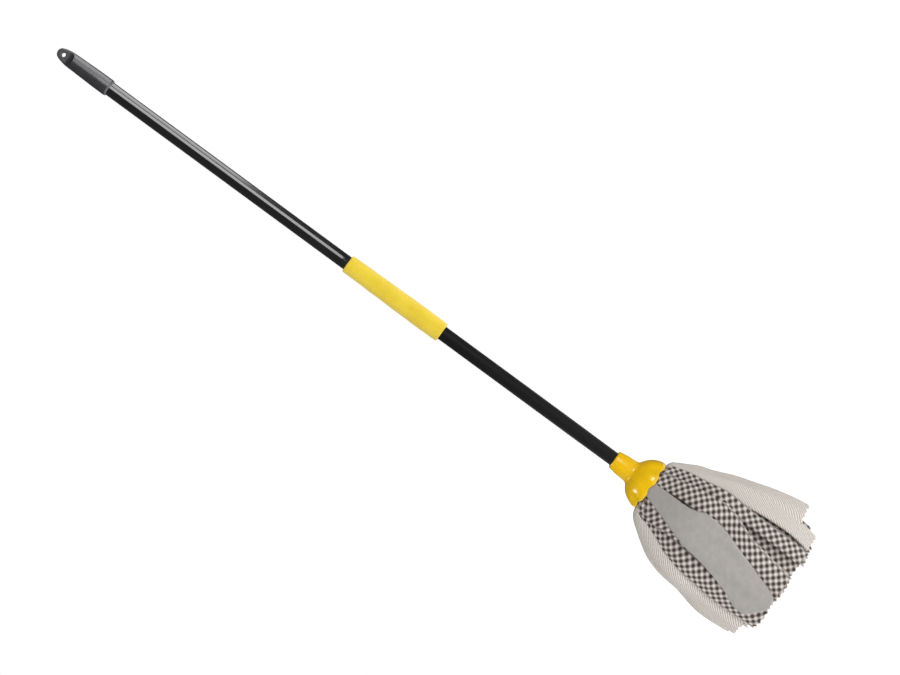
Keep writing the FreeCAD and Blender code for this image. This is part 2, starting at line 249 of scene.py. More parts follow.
def foam_material():
    """Closed-cell foam: packed small cells, painted shade in the pits between them, and soft handled
    patches.
    """
    shader = Shader(
        "foam",
        Roughness=0.92,
        Sheen_Weight=0.25,
        Sheen_Roughness=0.6,
        Specular_IOR_Level=0.25,
    )
    place = shader.place()
    cells = shader.cells(place, 1300)
    coarse = shader.cells(place, 480)
    handled = shader.step(shader.noise(place, scale=24, detail=4.0), 0.38, 0.7)
    base = shader.mix(handled, colour(224, 197, 52), colour(218, 189, 45))
    # Painted shade: the pits between the cells, where the bump sinks them, are darkened towards a
    # deeper yellow.
    painted_pit_shade = shader.maths("MULTIPLY", shader.step(cells, 0.5, 0.95), 0.4)
    shader.drive("Base Color", shader.mix(painted_pit_shade, base, colour(200, 166, 34)))
    fine_height = shader.maths("MULTIPLY", cells, -0.7)
    coarse_height = shader.maths("MULTIPLY", coarse, -0.5)
    shader.bump(shader.maths("ADD", fine_height, coarse_height), depth_mm=0.22, strength=0.7)
    return shader.material


# Spacing of the woven spots across and along a strip, in mm. Dark and bright ones take turns.
SPOT_ACROSS = 6.2
SPOT_ALONG = 6.0

# Spacing of the ribs on the cloth's back, in mm across the strip, and how far they climb along it.
RIB_PITCH = 4.3
RIB_SLOPE = 0.84

# Across and along are a point's place on the flat cloth and edge its distance from the border, all
# in mm. Side is 0 on the cloth's face and 1 on its back.


def woven(shader):
    """The weave at a point: 1 in the middle of a dark spot, -1 in the middle of a bright one."""
    across = shader.maths("MULTIPLY", shader.attribute("across"), math.pi / SPOT_ACROSS)
    along = shader.maths("MULTIPLY", shader.attribute("along"), math.pi / SPOT_ALONG)
    return shader.maths("MULTIPLY", shader.maths("COSINE", across), shader.maths("COSINE", along))


def yarn(shader, scale):
    """Fine yarn noise laid out on the cloth itself."""
    on_cloth = shader.joined(*(shader.attribute(name) for name in ("across", "along", "side")))
    return shader.noise(on_cloth, scale, detail=4.0, roughness=0.65)


def dotted_material():
    """Woven cloth: dark spots and raised bright ones on its face, faint diagonal ribs on its back."""
    shader = Shader("dotted_cloth", Roughness=0.9, Sheen_Weight=0.15, Specular_IOR_Level=0.2)
    weave = woven(shader)
    fine = yarn(shader, 1.9)
    ragged = shader.maths("ADD", weave, shader.step(fine, 0.2, 0.8, -0.22, 0.22))
    face = shader.mix(shader.step(ragged, -0.15, -0.75), colour(158, 149, 142), colour(212, 205, 199))
    dark = shader.mix(fine, colour(50, 42, 37), colour(90, 80, 73))
    face = shader.mix(shader.step(ragged, 0.04, 0.42), face, dark)
    climb = shader.maths("MULTIPLY", shader.attribute("along"), RIB_SLOPE)
    over_ribs = shader.maths("ADD", shader.attribute("across"), climb)
    ribs = shader.maths("COSINE", shader.maths("MULTIPLY", over_ribs, 2 * math.pi / RIB_PITCH))
    back = shader.mix(shader.step(ribs, -0.2, 0.9), colour(226, 219, 212), colour(172, 163, 152))
    show_through = shader.maths("MULTIPLY", shader.step(weave, 0.45, 0.95), 0.22)
    back = shader.mix(show_through, back, colour(150, 142, 132))
    cloth = shader.mix(shader.attribute("side"), face, back)
    # A lighter band along the border: partly the hem's own colour, partly a painted highlight where
    # the edges catch light.
    hem_and_edge_highlight = shader.maths("MULTIPLY", shader.step(shader.attribute("edge"), 1.7, 0.7), 0.75)
    shader.drive("Base Color", shader.mix(hem_and_edge_highlight, cloth, colour(216, 207, 200)))
    shader.bump(fine, depth_mm=0.28, strength=0.7)
    return shader.material


def grey_material():
    """Plain grey cloth: short felted nap, faint cross weave, and cut edges made lighter, partly their
    own colour and partly a painted highlight where they catch light.
    """
    shader = Shader(
        "grey_cloth",
        Roughness=0.95,
        Sheen_Weight=0.2,
        Sheen_Roughness=0.5,
        Specular_IOR_Level=0.15,
    )
    nap = yarn(shader, 2.6)
    patches = yarn(shader, 0.09)
    base = shader.mix(shader.step(patches, 0.35, 0.65), colour(168, 164, 159), colour(176, 171, 166))
    base = shader.mix(shader.step(nap, 0.35, 0.7, 0.0, 0.5), base, colour(140, 136, 132))
    # A lighter band along the border: partly the cut edge's own colour, partly a painted highlight
    # where the edges catch light.
    hem_and_edge_highlight = shader.maths("MULTIPLY", shader.step(shader.attribute("edge"), 1.6, 0.5), 0.6)
    shader.drive("Base Color", shader.mix(hem_and_edge_highlight, base, colour(205, 201, 197)))
    thread_pitch = 1.1
    over_threads = shader.maths("MULTIPLY", shader.attribute("along"), 2 * math.pi / thread_pitch)
    threads = shader.maths("MULTIPLY", shader.maths("SINE", over_threads), 0.12)
    shader.bump(shader.maths("ADD", nap, threads), depth_mm=0.3, strength=0.7)
    return shader.material


# ---------------------------------------------------------------- mesh helpers


def give_numbers(mesh, attributes):
    """Stores each named list of numbers, one number a point, for the cloth materials to read."""
    for label, values in attributes.items():
        stored = mesh.attributes.new(label, "FLOAT", "POINT")
        stored.data.foreach_set("value", np.asarray(values, np.float32))


def new_piece(name, points_mm, faces, material):
    """A smooth-shaded piece of the model from points and faces."""
    mesh = bpy.data.meshes.new(name)
    mesh.from_pydata((np.asarray(points_mm) * MM).tolist(), [], faces)
    mesh.validate()
    mesh.shade_smooth()
    mesh.materials.append(material)
    piece = bpy.data.objects.new(name, mesh)
    bpy.context.scene.collection.objects.link(piece)
    return piece


def rounded(corners, step=1.2):
    """The outline through the corners (radius, height, rounding), with each corner rounded off and
    the runs between them divided every step."""
    path = []
    for number, (radius, height, rounding) in enumerate(corners):
        here = np.array((radius, height), float)
        if rounding == 0 or number in (0, len(corners) - 1):
            path.append(here)
            continue
        before = np.array(corners[number - 1][:2], float) - here
        after = np.array(corners[number + 1][:2], float) - here
        start = here + before / np.linalg.norm(before) * rounding
        end = here + after / np.linalg.norm(after) * rounding
        for share in np.linspace(0, 1, 6):
            path.append((1 - share) ** 2 * start + 2 * share * (1 - share) * here + share**2 * end)
    dense = [path[0]]
    for first, second in zip(path, path[1:]):
        runs = max(1, int(np.linalg.norm(second - first) / step))
        dense += [first + (second - first) * run / runs for run in range(1, runs + 1)]
    return np.array(dense)


def arc(start, end, radius, count=14):
    """Corners of an arc that bulges away from the axis and up, as (radius, height, rounding)."""
    first, last = np.array(start, float), np.array(end, float)
    chord = last - first
    half = np.linalg.norm(chord) / 2
    out = np.array((abs(chord[1]), abs(chord[0]))) / (2 * half)
    centre = (first + last) / 2 - out * math.sqrt(radius**2 - half**2)
    begin = math.atan2(*(first - centre)[::-1])
    finish = math.atan2(*(last - centre)[::-1])
    turns = np.linspace(begin, finish, count)
    corners = []
    for turn in turns:
        out_from_axis = centre[0] + radius * math.cos(turn)
        height = centre[1] + radius * math.sin(turn)
        corners.append((out_from_axis, height, 0))
    return corners


def turned(name, outline, material, around=96, shape=None, closed=False):
    """Turns an outline about the pole's axis. The shape function may move the grid's radii and
    heights. A closed outline joins its last point to its first."""
    azimuth = np.arange(around) * 2 * np.pi / around
    radius = np.repeat(outline[:, 0][:, None], around, 1)
    height = np.repeat(outline[:, 1][:, None], around, 1)
    if shape:
        radius, height = shape(radius, height, np.repeat(azimuth[None], len(outline), 0))
    points = np.stack([radius * np.sin(azimuth), -radius * np.cos(azimuth), height], -1).reshape(-1, 3)
    rows = len(outline)
    faces = []
    for row in range(rows if closed else rows - 1):
        low = row * around
        high = (row + 1) % rows * around
        for place in range(around):
            after = (place + 1) % around
            faces.append((low + place, low + after, high + after, high + place))
    piece = new_piece(name, points, faces, material)
    work = bmesh.new()
    work.from_mesh(piece.data)
    bmesh.ops.remove_doubles(work, verts=work.verts, dist=1e-7)
    bmesh.ops.recalc_face_normals(work, faces=work.faces)
    work.to_mesh(piece.data)
    work.free()
    piece.data.shade_smooth()
    return piece


def ease(value, low, high):
    """Rises smoothly from 0 to 1 as value goes from low to high."""
    share = np.clip((value - low) / (high - low), 0, 1)
    return share * share * (3 - 2 * share)


# ---------------------------------------------------------------- pole, grip, foam and socket


def dress(piece, body, node):
    """Lets a piece move with a body and stand in the CAD node's place."""
    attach(piece, body)
    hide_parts(node)


def build_tubes(glossy, satin):
    """Both pole sections, as open tubes with lightly broken edges."""
    tubes = []
    bore = TUBE_RADIUS - TUBE_WALL
    edge = 0.25
    for name, body, node, (foot, top), material, slot in (
        ("upper_pole_tube", "upper_pole", "upper_tube", UPPER_TUBE, glossy, "upper_lacquer"),
        ("lower_pole_tube", "lower_pole", "lower_tube", LOWER_TUBE, satin, "lower_lacquer"),
    ):
        start = (bore, foot + 4, 0)
        corners = [
            start,
            (bore, foot, edge),
            (TUBE_RADIUS, foot, edge),
            (TUBE_RADIUS, top, edge),
            (bore, top, edge),
            start,
        ]
        outline = rounded(corners, 12)[:-1]
        tube = turned(name, outline, material, 96, closed=True)
        dress(tube, body, node)
        tubes.append(tube)
    return tubes


def build_grip(material):
    """The moulded grip: the CAD shape with the soft edges that moulding gives it."""
    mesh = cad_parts["hanging_grip"].data.copy()
    mesh.materials.clear()
    grip = bpy.data.objects.new("moulded_grip", mesh)
    bpy.context.scene.collection.objects.link(grip)
    remesh = grip.modifiers.new("remesh", "REMESH")
    remesh.mode = "VOXEL"
    remesh.voxel_size = 0.45 * MM
    soften = grip.modifiers.new("soften", "SMOOTH")
    soften.factor = 0.5
    soften.iterations = 7
    bpy.context.view_layer.update()
    shaped = grip.evaluated_get(bpy.context.evaluated_depsgraph_get())
    grip.data = bpy.data.meshes.new_from_object(shaped)
    grip.modifiers.clear()
    grip.data.materials.append(material)
    grip.data.shade_smooth()
    dress(grip, "upper_pole", "hanging_grip")
    return grip


def build_foam(material):
    """The foam sleeve: fuller near its foot, with shallow dents from handling."""
    fullest = FOAM_FOOT + 27
    lip = 2.2
    corners = [
        (TUBE_RADIUS, FOAM_FOOT, 0),
        (15.4, FOAM_FOOT, lip),
        (16.1, fullest, 20),
        (14.5, FOAM_TOP, lip),
        (TUBE_RADIUS, FOAM_TOP, 0),
    ]
    dent_depth = 0.022
    grain_depth = 0.03
    inset = 0.1
    rng = np.random.default_rng(7)
    waves = []
    for _ in range(12):
        waves.append((rng.uniform(2, 9), rng.integers(1, 6), rng.uniform(0, 2 * np.pi)))

    def handled(radius, height, azimuth):
        dents = sum(np.sin(height / pitch + turns * azimuth + phase) for pitch, turns, phase in waves)
        grain = rng.normal(0, grain_depth, radius.shape)
        outside = ease(radius, 12.5, 14)
        return radius + outside * (dents * dent_depth + grain - inset), height

    foam = turned("foam_grip", rounded(corners, 0.75), material, 176, handled, closed=True)
    dress(foam, "lower_pole", "foam_sleeve")
    return foam


def build_bell(material):
    """Neck and bell in one moulding: eight soft lobes between the arches of the rim."""
    post_foot = -1090.5
    post_radius = 7.5
    ceiling = -1067.5
    rim_foot = RIM + 1.2
    neck_top = -1023.8
    socket_radius = 11.35
    thread_radius = 9.55
    thread_top = -1030.3
    thread_end = -1063
    post = [
        (0, post_foot, 0),
        (post_radius, post_foot, 1.2),
        (post_radius, ceiling, 1),
    ]
    inside = [(26.5, ceiling, 3)] + arc((28, -1067.9), (38, RIM + 0.2), 38)
    rim = [(39, RIM, 0.8), (40.9, rim_foot, 1.5)]
    outside = arc((BELL_RADIUS, -1087), (18.8, -1058.5), 41, 20)[:-2]
    neck = [
        (18.2, -1058.2, 4),
        (17, -1040, 6),
        (14.75, -1026.2, 1.5),
        (13.6, neck_top, 1.0),
    ]
    socket = [
        (socket_radius, neck_top, 0.4),
        (socket_radius, thread_top, 0),
        (thread_radius, thread_top, 0),
        (thread_radius, thread_end, 0),
        (0, thread_end, 0),
    ]
    arch_radius = 14
    arch_shift = 10.9
    arch_softness = 3
    lobe_depth = 2.6

    def lobed(radius, height, azimuth):
        rim_row = np.argmin(height[:, 0])
        outer_wall = (np.arange(len(height)) > rim_row)[:, None]
        from_arch = azimuth * ARCHES - math.radians(FRONT_ARCH) * ARCHES
        valley = ((1 + np.cos(from_arch)) / 2) ** 1.5
        low_down = ease(-height, 1066, 1083) * (1 - 0.6 * ease(-height, 1088, 1092))
        angle = (np.mod(from_arch + np.pi, 2 * np.pi) - np.pi) / ARCHES
        sideways = np.abs(np.sin(angle)) * BELL_RADIUS
        rise = np.sqrt(np.maximum(arch_radius**2 - sideways**2, 0)) - arch_shift
        near_rim = ease(-height, 1083, 1091.5) * (radius > 30)
        lift = near_rim * np.logaddexp(0, rise * arch_softness) / arch_softness
        return radius - outer_wall * low_down * valley * lobe_depth, height + lift

    corners = post + inside + rim + outside + neck + socket
    bell = turned("lobed_bell", rounded(corners, 0.9), material, 240, lobed)
    dress(bell, "socket", "bell_socket")
    return bell


def build_gathered(material):
    """The strips' middles, folded and pressed together over the clip."""
    clip_top = -1078
    ceiling = -1068.1
    foot = -1091.5
    inner_radius = 8
    mean_radius = 36
    corners = [
        (inner_radius, clip_top, 0),
        (11.5, clip_top, 1),
        (31, -1080, 1),
        (31, -1083.2, 1),
        (33.6, foot, 1),
        (36.9, foot, 1.2),
        (35.2, -1080, 6),
        (28, -1068.4, 3),
        (inner_radius, ceiling, 1),
        (inner_radius, clip_top, 0),
    ]

    fold_count = 56
    fold_depth = 0.9

    def pleated(radius, height, azimuth):
        folds = np.sin(azimuth * fold_count + 1.4 * np.sin(azimuth * 9) + height * 0.12)
        outside = ease(radius - (-1075 - height) * 0.42, 24, 31)
        return radius - outside * (fold_depth + fold_depth * folds), height

    ring = turned("gathered_folds", rounded(corners, 1.0)[:-1], material, 336, pleated, closed=True)
    points = np.empty(len(ring.data.vertices) * 3)
    ring.data.vertices.foreach_get("co", points)
    points = points.reshape(-1, 3) / MM
    azimuth = np.arctan2(points[:, 0], -points[:, 1])
    far_from_edge = 9.0
    numbers = {
        "across": azimuth * mean_radius,
        "along": -points[:, 2] + np.hypot(points[:, 0], points[:, 1]),
        "side": np.zeros(len(points)),
        "edge": np.full(len(points), far_from_edge),
    }
    give_numbers(ring.data, numbers)
    dress(ring, "refill", "gathered_cloth")


# ---------------------------------------------------------------- cloth strips

# The cloth's sizes and the spacing of its pinked teeth, in mm.
CLOTH_THICK = 1.1
CLOTH_WIDTH = 50
GREY_WIDTH = 57
TOOTH = 25 / 3

# How far the weave's spots, the ribs on the back, and the spots as felt through the back stand out.
SPOT_RELIEF = 0.36
RIB_RELIEF = 0.2
THROUGH_RELIEF = 0.1

# Quads of a strip's mesh across and along it.
COLUMNS = 42
ROWS = 190

# The skirt's outline: drop below the bending line and distance from the pole's axis, in mm, as it is
# in front and behind, on the left and on the right.
FRONT_LINE = [
    (-10, 35.2), (-4, 36.4), (0, 38.8), (12, 46.5), (28, 58), (69, 80), (129, 94), (189, 97.5),
    (239, 94.5),
]
LEFT_LINE = [
    (-10, 35.2), (-4, 36.6), (-2.5, 41), (-1, 46.5), (2, 52), (7, 57), (21, 67), (36, 77),
    (51, 85.5), (69, 91.5), (96, 97.5), (129, 102), (160, 107), (189, 108.5), (239, 108),
]
RIGHT_LINE = [
    (-10, 35.2), (-4, 36.5), (-2.5, 40), (-1, 44), (2, 48), (7, 51), (21, 58.5), (36, 66.5),
    (51, 72.5), (69, 79), (96, 87), (129, 92.5), (160, 94.5), (189, 94), (239, 89),
]

# Stations below the bending line at which each strip's azimuth (degrees), visible width (mm) and
# height above its ring's middle layer (mm) are given.
STATIONS = (0, 45, 96, 156, 239)

# Which edge of a strip lies over its neighbour.
BOTH_OVER, RIGHT_OVER, LEFT_OVER, BOTH_UNDER = "both over", "right over", "left over", "both under"

USUAL_WIDTHS = (22, 38, 45, 46, 46)
LEVEL = (0, 0, 0, 0, 0)

# Outer ring, in turn from the front strip towards the right-hand side: number, look, edges,
# azimuths, visible widths, heights, and how much shorter than the longest it is.
OUTER = [
    (1, "grey", BOTH_OVER, (-6, -9, -9.5, -17.5, -28), (24, 37, 56, 56, 48), (1, 5.5, 5.5, 5, 5), 8),
    (2, "face", RIGHT_OVER, (27, 21, 15, 1, -8), (23, 30, 44, 46, 46), (0, 2, 1, 0, 0), 4),
    (3, "face", RIGHT_OVER, (57, 44, 35, 31, 30.5), (20, 23, 23, 23, 25), (-1, -2, 1, 1.5, 1), 4),
    (4, "back", RIGHT_OVER, (84, 66, 57, 56.5, 56.5), (22, 32, 36, 38, 38), LEVEL, 4),
    (5, "back", RIGHT_OVER, (105, 84, 70, 68, 70), (22, 38, 45, 45, 45), LEVEL, 34),
    (6, "face", RIGHT_OVER, (125, 105, 88, 86, 88), USUAL_WIDTHS, LEVEL, 12),
    (7, "face", RIGHT_OVER, (145, 127, 110, 108, 110), USUAL_WIDTHS, LEVEL, 6),
    (8, "back", RIGHT_OVER, (164, 149, 134, 131, 132), USUAL_WIDTHS, LEVEL, 10),
    (9, "grey", BOTH_UNDER, (183, 172, 160, 156, 156), (22, 42, 52, 54, 53), (-1, -4, -4, -4, -4), 0),
    (10, "face", LEFT_OVER, (202, 193, 183, 180, 179), USUAL_WIDTHS, LEVEL, 8),
    (11, "face", LEFT_OVER, (221, 215, 207, 203, 202), USUAL_WIDTHS, LEVEL, 3),
    (12, "back", LEFT_OVER, (238, 236, 230, 226, 225), USUAL_WIDTHS, LEVEL, 14),
    (13, "face", LEFT_OVER, (253, 256, 253, 248, 247), USUAL_WIDTHS, LEVEL, 10),
    (14, "back", LEFT_OVER, (268, 274, 274, 271, 270), USUAL_WIDTHS, LEVEL, 20),
    (15, "back", LEFT_OVER, (284, 295, 302, 299, 297), (24, 40, 46, 46, 46), LEVEL, 16),
    (16, "face", LEFT_OVER, (308, 314, 323, 321, 324), (20, 28, 43, 46, 46), (-5, -6, -1, 0, 0), 2),
]
GREY_NODES = {1: "grey_strip_front", 9: "grey_strip_back"}

# Inner rings: name, count, azimuth of the first, distance out at the bending line, share of the
# skirt's spread, steps below the outer ring's bending line, visible widths, and the amounts that the
# strips in turn are shorter.
INNER_RINGS = [
    ("middle_strip", 8, 19, 34.6, 0.81, 1, (24, 36, 44, 46, 46), (6, 0, 14, 4)),
    ("core_strip", 4, 0, 31, 0.35, 2, (20, 30, 38, 42, 44), (10, 2)),
]

# Inner strips that leave their ring: turns from their azimuths and heights, at the stations.
ASTRAY = {
    "middle_strip_08": ((-13, 8.5, 12.5, 14, 14), (5.5, 13.5, 5, 0, 0)),
    "middle_strip_02": ((-6, -12, -16, -16, -16), LEVEL),
}

# How much deeper than usual the edges that lie under a neighbour hang.
DEEPER = {"outer_strip_02": 1.6, "outer_strip_03": 2.6, "outer_strip_16": 2.6}

# The short strip on the right, whose free edge stands out at its foot.
FLARED_STRIP = "outer_strip_05"
FLARE = 24

# How far every strip's border turns in, in radians.
EDGE_CURL = 0.55


def flowing(stations, values, at):
    """A smooth curve through the values at the stations."""
    stations, values = np.array(stations, float), np.array(values, float)
    at = np.clip(at, stations[0], stations[-1])
    slopes = np.gradient(values, stations)
    place = np.clip(np.searchsorted(stations, at) - 1, 0, len(stations) - 2)
    run = stations[place + 1] - stations[place]
    share = (at - stations[place]) / run
    rise = 3 * share**2 - 2 * share**3
    lead = share**3 - 2 * share**2 + share
    trail = share**3 - share**2
    return (
        values[place] * (1 - rise)
        + values[place + 1] * rise
        + slopes[place] * run * lead
        + slopes[place + 1] * run * trail
    )


def skirt_radius(azimuth, drop):
    """Distance from the pole's axis to the middle layer of the outer ring, with its soft billows."""
    front, left, right = (flowing(*zip(*line), drop) for line in (FRONT_LINE, LEFT_LINE, RIGHT_LINE))
    side = np.sin(azimuth)
    wider = np.where(side < 0, left, right) - front
    billows = 1.5 * np.sin(0.031 * drop + 2 * azimuth + 0.6) + 1.0 * np.sin(0.052 * drop - 3 * azimuth)
    pleats = 1.3 * np.cos(17 * azimuth + 0.9 * np.sin(0.02 * drop + 1.3))
    return front + side**2 * wider + ease(drop, 10, 90) * (billows + pleats)


def hanging_line():
    """Drop at each length of cloth along the skirt's front outline."""
    drop = np.linspace(FRONT_LINE[0][0], FRONT_LINE[-1][0], 1200)
    out = flowing(*zip(*FRONT_LINE), drop)
    length = np.concatenate([[0], np.cumsum(np.hypot(np.diff(drop), np.diff(out)))])
    return drop, length


def bent_section(across, visible, width, left_dip, right_dip):
    """Sideways place and depth of each point across the cloth, row by row. The edges hang back
    behind the middle by the two dips. Where the cloth is gathered, they fold back behind it too."""
    gathered = 1 - visible / width
    turn_back = math.pi * ease(gathered, 0.05, 0.32)
    fold = 3.2 + 5 * (1 - ease(gathered, 0.05, 0.3))
    flat = visible / 2 - fold * 0.45
    beyond = ease(np.abs(across)[None], flat[:, None], (flat + fold)[:, None])
    dip = np.where(across[None] < 0, left_dip[:, None], right_dip[:, None])
    crown = 2 * dip * across[None] / (width / 2) ** 2
    edge_turn = np.maximum(turn_back[:, None], np.abs(crown) + EDGE_CURL)
    heading = -crown * (1 - beyond) - np.sign(across)[None] * beyond * edge_turn
    step = across[1] - across[0]
    side = np.cumsum(np.cos(heading), 1) * step
    depth = np.cumsum(np.sin(heading), 1) * step
    middle = len(across) // 2
    return side - side[:, middle : middle + 1], depth - depth[:, middle : middle + 1]


def foot_trim(look, across, rng):
    """How much is cut off the foot at each place across: pinked teeth, or the grey strip's tongue."""
    if look == "grey":
        border = GREY_WIDTH / 2
        left_start, right_start = 4, 13
        left_cut, right_cut = 27, 15
        left = np.clip((left_start - across) / (left_start + border), 0, 1)
        right = np.clip((across - right_start) / (border - right_start), 0, 1)
        return left_cut * left**1.25 + right_cut * right**2.2
    tooth_depth = 3.2
    unevenness = 1.2
    tooth = np.abs(np.mod(across / TOOTH + 0.5, 1) - 0.5) * 2
    return tooth * tooth_depth + unevenness * np.sin(across * 0.11 + rng.uniform(0, 6))


def strip_middle(look, plan):
    """The strip's middle layer as a grid of points. With it come each point's place across and
    along the flat cloth, its distance from the border, and the cloth's width and length."""
    width = GREY_WIDTH if look == "grey" else CLOTH_WIDTH
    border = width / 2
    across = np.linspace(-border, border, COLUMNS + 1)
    drops, lengths = hanging_line()
    length = np.interp(drops[-1] - plan["cut"], drops, lengths)
    share_down = np.linspace(0, 1, ROWS + 1)
    along = share_down * length
    rng = np.random.default_rng(plan["seed"])
    trim = foot_trim(look, across, rng)
    cloth_along = along[:, None] - trim[None] * ease(share_down, 0.7, 1)[:, None]
    drop = np.interp(cloth_along, lengths, drops)
    level = np.interp(along, lengths, drops)
    centre = np.radians(flowing(STATIONS, plan["azimuths"], level))
    visible = np.minimum(flowing(STATIONS, plan["widths"], level), width * 0.985)
    height = flowing(STATIONS, plan["heights"], level) * ease(level, -5, 10)

    opened = ease(level, -4, 30)
    over = 0.4 + 1.0 * opened
    under = (0.6 + 5.6 * opened) * plan["deeper"]
    left_over = plan["edges"] in (BOTH_OVER, LEFT_OVER)
    right_over = plan["edges"] in (BOTH_OVER, RIGHT_OVER)
    left_dip = over if left_over else under
    right_dip = over if right_over else under
    side, depth = bent_section(across, visible, width, left_dip, right_dip)
    tilt = 3.4 * opened * (int(right_over) - int(left_over))

    # Scalloped borders, a soft belly and a slow sideways sway keep the strips from looking ruled.
    scallop = np.cos(2 * np.pi * along / TOOTH)[:, None] * ease(np.abs(across), 18, 25)[None]
    side = side * (1 + 0.012 * scallop)
    belly_phase, sway_phase = rng.uniform(0, 6.28, 2)
    below_rim = ease(along, 40, 120)
    belly = 0.9 * np.sin(along * 0.043 + belly_phase) * below_rim
    belly = belly[:, None] * (1 - (across[None] / border) ** 2)
    sway = 1.1 * np.sin(along * 0.027 + sway_phase) * below_rim
    side = side + sway[:, None]

    reach, spread = plan["reach"], plan["spread"]
    around = reach + (skirt_radius(centre, level) - SKIRT_TOP) * spread
    azimuth = centre[:, None] + side / around[:, None]
    radius = reach + (skirt_radius(azimuth, drop) - SKIRT_TOP) * spread
    radius = radius + height[:, None] + depth + belly + tilt[:, None] * side / border
    flare = plan["flare"] * ease(level, 90, 215)[:, None] * ease(across, -border, border)[None]
    radius = radius + flare
    grid = np.stack([radius * np.sin(azimuth), -radius * np.cos(azimuth), plan["bend"] - drop], -1)
    to_side = border - np.abs(across)[None]
    to_end = (length - along)[:, None] * 1.2
    cloth_across = across[None] + 0 * cloth_along
    return grid, cloth_across, cloth_along, np.minimum(to_side, to_end), width, length


def sheet_faces(rows, columns):
    """Quads of a closed thin sheet: its outer side, its inner side and the border between them."""
    count = (rows + 1) * (columns + 1)
    faces = []
    for row in range(rows):
        for column in range(columns):
            first = row * (columns + 1) + column
            second = first + columns + 1
            faces.append((first, second, second + 1, first + 1))
            faces.append((count + first, count + first + 1, count + second + 1, count + second))
    border = [(0, column) for column in range(columns)]
    border += [(row, columns) for row in range(rows)]
    border += [(rows, column) for column in range(columns, 0, -1)]
    border += [(row, 0) for row in range(rows, 0, -1)]
    ids = [row * (columns + 1) + column for row, column in border]
    for first, second in zip(ids, ids[1:] + ids[:1]):
        faces.append((first, second, count + second, count + first))
    return faces


def cloth_relief(look, across, along):
    """How far the face and the back stand out from the plain cloth at each point, in mm."""
    if look == "grey":
        return 0.1 * np.sin(along * 0.5) * np.sin(across * 0.4), 0 * along
    weave = np.cos(np.pi * across / SPOT_ACROSS) * np.cos(np.pi * along / SPOT_ALONG)
    ribs = np.cos(2 * np.pi / RIB_PITCH * (across + along * RIB_SLOPE))
    return -SPOT_RELIEF * weave, RIB_RELIEF * ribs - THROUGH_RELIEF * weave


def strip_piece(node, look, material, plan):
    """One cloth strip as a closed thin sheet with its weave in relief."""
    grid, across, along, edge, width, length = strip_middle(look, plan)
    normal = np.cross(np.gradient(grid, axis=1), np.gradient(grid, axis=0))
    normal /= np.linalg.norm(normal, axis=2, keepdims=True)
    middle = COLUMNS // 2
    if np.sum(normal[:, middle] * grid[:, middle] * (1, 1, 0)) < 0:
        normal = -normal
    face, back = cloth_relief(look, across, along)
    turned_over = look == "back"
    outer, inner = (back, face) if turned_over else (face, back)
    half = CLOTH_THICK / 2
    top = grid + normal * (half + outer)[..., None]
    low = grid - normal * (half + inner)[..., None]
    points = np.concatenate([top.reshape(-1, 3), low.reshape(-1, 3)])
    strip = new_piece(node + "_cloth", points, sheet_faces(ROWS, COLUMNS), material)
    numbers = {
        "across": np.tile(across.reshape(-1), 2),
        "along": np.tile(along.reshape(-1), 2),
        "side": np.repeat((float(turned_over), float(not turned_over)), across.size),
        "edge": np.tile(edge.reshape(-1), 2),
    }
    give_numbers(strip.data, numbers)
    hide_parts(node)
    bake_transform(strip)


def build_strips(dotted, grey):
    """All hanging strips: the outer ring as listed, the inner rings evenly spaced."""
    for number, look, edges, azimuths, widths, heights, cut in OUTER:
        node = GREY_NODES.get(number, f"outer_strip_{number:02d}")
        plan = {
            "bend": BEND,
            "cut": cut,
            "seed": 39 + number,
            "edges": edges,
            "azimuths": azimuths,
            "widths": widths,
            "heights": heights,
            "reach": SKIRT_TOP,
            "spread": 1,
            "deeper": DEEPER.get(node, 1),
            "flare": FLARE if node == FLARED_STRIP else 0,
        }
        strip_piece(node, look, grey if look == "grey" else dotted, plan)
    for prefix, count, first, reach, spread, ring, widths, cuts in INNER_RINGS:
        for number in range(count):
            node = f"{prefix}_{number + 1:02d}"
            azimuth = first + 360 / count * number
            turns, heights = ASTRAY.get(node, (LEVEL, LEVEL))
            plan = {
                "bend": BEND - RING_STEP * ring,
                "cut": cuts[number % len(cuts)],
                "seed": 80 + 10 * ring + number,
                "edges": BOTH_OVER,
                "azimuths": [azimuth + turn for turn in turns],
                "widths": widths,
                "heights": heights,
                "reach": reach,
                "spread": spread,
                "deeper": 1,
                "flare": 0,
            }
            strip_piece(node, "face", dotted, plan)


# ---------------------------------------------------------------- stage


def area_light(name, place, aim, size, power, gloss=False, pieces=()):
    """A soft panel that either only shows as a reflection or only lights matt surfaces. With pieces
    given, it reaches those alone."""
    light = bpy.data.lights.new(name, "AREA")
    light.shape = "RECTANGLE"
    light.size, light.size_y = size
    light.energy = power
    lamp = bpy.data.objects.new(name, light)
    lamp.location = place
    lamp.rotation_euler = (Vector(aim) - Vector(place)).to_track_quat("-Z", "Y").to_euler()
    lamp.visible_camera = False
    lamp.visible_glossy = gloss
    lamp.visible_diffuse = not gloss
    if pieces:
        receivers = bpy.data.collections.new(name + "_receivers")
        for piece in pieces:
            receivers.objects.link(piece)
        lamp.light_linking.receiver_collection = receivers
    bpy.context.scene.collection.objects.link(lamp)


def around_pole(azimuth, distance, height):
    """A place at an azimuth from the camera's side towards the right-hand side."""
    turn = math.radians(azimuth)
    return (distance * math.sin(turn), -distance * math.cos(turn), height)


